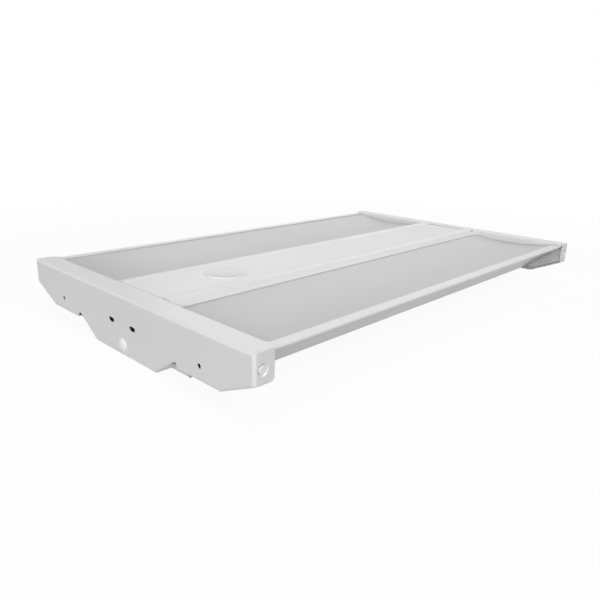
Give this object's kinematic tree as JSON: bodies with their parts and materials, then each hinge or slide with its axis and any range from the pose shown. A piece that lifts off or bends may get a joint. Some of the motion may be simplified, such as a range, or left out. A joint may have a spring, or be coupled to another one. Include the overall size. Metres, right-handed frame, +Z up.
{
  "type": "high bay light",
  "caption": "Low rectangular linear LED high bay in white sheet steel, lens side up: folded end caps, frosted dished lenses either side of a beaded centre cover, driver box on the back.",
  "frame": {"origin": "centre of the flat back that the light lies on, under the middle of the driver box", "axes": "+X along the light to the far end cap, +Y across it to the left, +Z up out of the lens side"},
  "size_m": [0.606, 0.365, 0.0606],
  "materials": {
    "white_paint": "satin white powder coat",
    "frosted_lens": "frosted white diffuser",
    "white_plastic": "white moulded plastic",
    "plated_steel": "zinc plated",
    "painted_screw": "white painted head",
    "board_white": "white solder mask on aluminium",
    "led_yellow": "LED phosphor",
    "driver_case": "plain aluminium case",
    "connector_plastic": "white moulded connector",
    "lead_jacket": "dark cable jacket",
    "black_rubber": "matt rubber"
  },
  "bodies": {
    "root": {"housing": "white_paint", "end_cap_near": "white_paint", "end_cap_far": "white_paint", "driver_box": "white_paint", "driver_cover": "white_paint", "lens_rail_left": "white_paint", "lens_rail_right": "white_paint", "lens_left": "frosted_lens", "lens_right": "frosted_lens", "sensor_hole_plug": "white_plastic", "hole_plug_near": "white_plastic", "hole_plug_far": "white_plastic", "board_screws": "plated_steel", "frame_screws": "plated_steel", "driver_nuts": "plated_steel", "end_brackets": "plated_steel", "cover_clips": "plated_steel", "earth_nut": "plated_steel", "cap_screws": "painted_screw", "corner_screws": "painted_screw", "led_board_left_near": "board_white", "led_board_left_far": "board_white", "led_board_right_near": "board_white", "led_board_right_far": "board_white", "led_chips_left": "led_yellow", "led_chips_right": "led_yellow", "led_driver": "driver_case", "board_links": "connector_plastic", "board_connectors": "connector_plastic", "terminal_block": "connector_plastic", "mains_lead": "lead_jacket", "output_lead_left": "lead_jacket", "output_lead_right": "lead_jacket", "lead_grommets": "black_rubber"}
  },
  "joints": []
}
